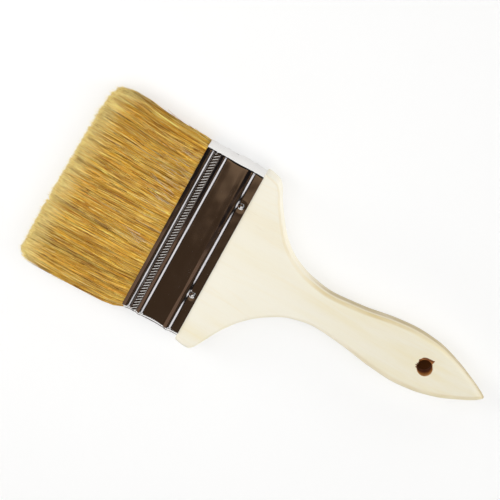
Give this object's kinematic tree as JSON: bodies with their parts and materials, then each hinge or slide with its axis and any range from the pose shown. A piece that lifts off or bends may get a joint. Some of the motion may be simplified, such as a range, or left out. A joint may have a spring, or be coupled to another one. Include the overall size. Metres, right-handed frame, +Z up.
{
  "type": "paint brush",
  "caption": "Flat natural-bristle paint brush: a wooden handle with a hanging hole, a beaded tinplate ferrule nailed to it, and a wide tuft set in resin.",
  "frame": {"origin": "on the surface the brush lies on, under the middle of its overall length and of its width", "axes": "+X from the bristles to the handle's tip, +Y across the width, +Z up through the thickness"},
  "size_m": [0.252, 0.107, 0.017],
  "materials": {
    "handle_wood": "bare sanded light hardwood",
    "tinplate": "bright tinplate",
    "nail_steel": "bright steel",
    "epoxy": "set resin",
    "plug_wood": "rough sawn",
    "bristle": "golden hog bristle"
  },
  "bodies": {
    "brush": {"handle": "handle_wood", "ferrule": "tinplate", "nail_front_left": "nail_steel", "nail_front_right": "nail_steel", "nail_back_left": "nail_steel", "nail_back_right": "nail_steel", "resin_set": "epoxy", "spacer_plug": "plug_wood", "bristle_roots_front": "bristle", "bristle_roots_back": "bristle"},
    "bristles": {"bristle_tuft": "bristle"}
  },
  "joints": [
    {"name": "bristle_flex", "type": "hinge", "parent": "brush", "child": "bristles", "pos_m": [-0.0645, 0, 0.0085], "axis": [0, 1, 0], "range_deg": [-25, 25], "stiffness_Nm_per_rad": 0.8}
  ]
}
